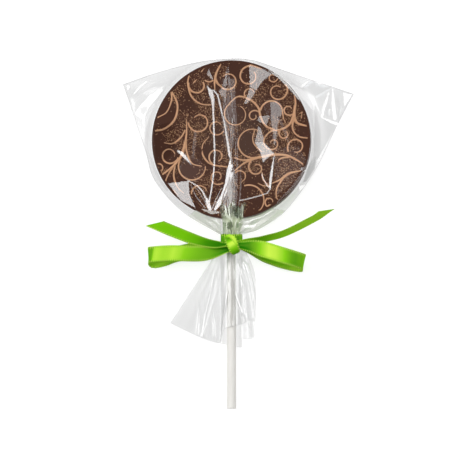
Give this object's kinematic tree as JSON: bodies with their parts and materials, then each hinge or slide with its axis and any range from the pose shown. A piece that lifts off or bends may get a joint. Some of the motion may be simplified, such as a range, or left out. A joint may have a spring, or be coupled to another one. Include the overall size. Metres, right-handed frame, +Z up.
{
  "type": "chocolate lollipop",
  "caption": "Round dark chocolate lollipop with a gold scroll print, on a white paper stick, in a clear film bag gathered at the neck and tied with a green satin ribbon bow.",
  "frame": {"origin": "on the resting surface, straight below the centre of the chocolate disc", "axes": "+X to the right seen from above, +Y from the stick to the top of the disc, +Z up out of the printed face"},
  "size_m": [0.1025, 0.155, 0.0137],
  "materials": {
    "chocolate": "satin",
    "paper_stick": "matte",
    "clear_film": "gloss",
    "satin_ribbon": "satin"
  },
  "bodies": {
    "root": {"chocolate_disc": "chocolate", "stick": "paper_stick", "film_bag": "clear_film", "ribbon_bow": "satin_ribbon"}
  },
  "joints": []
}
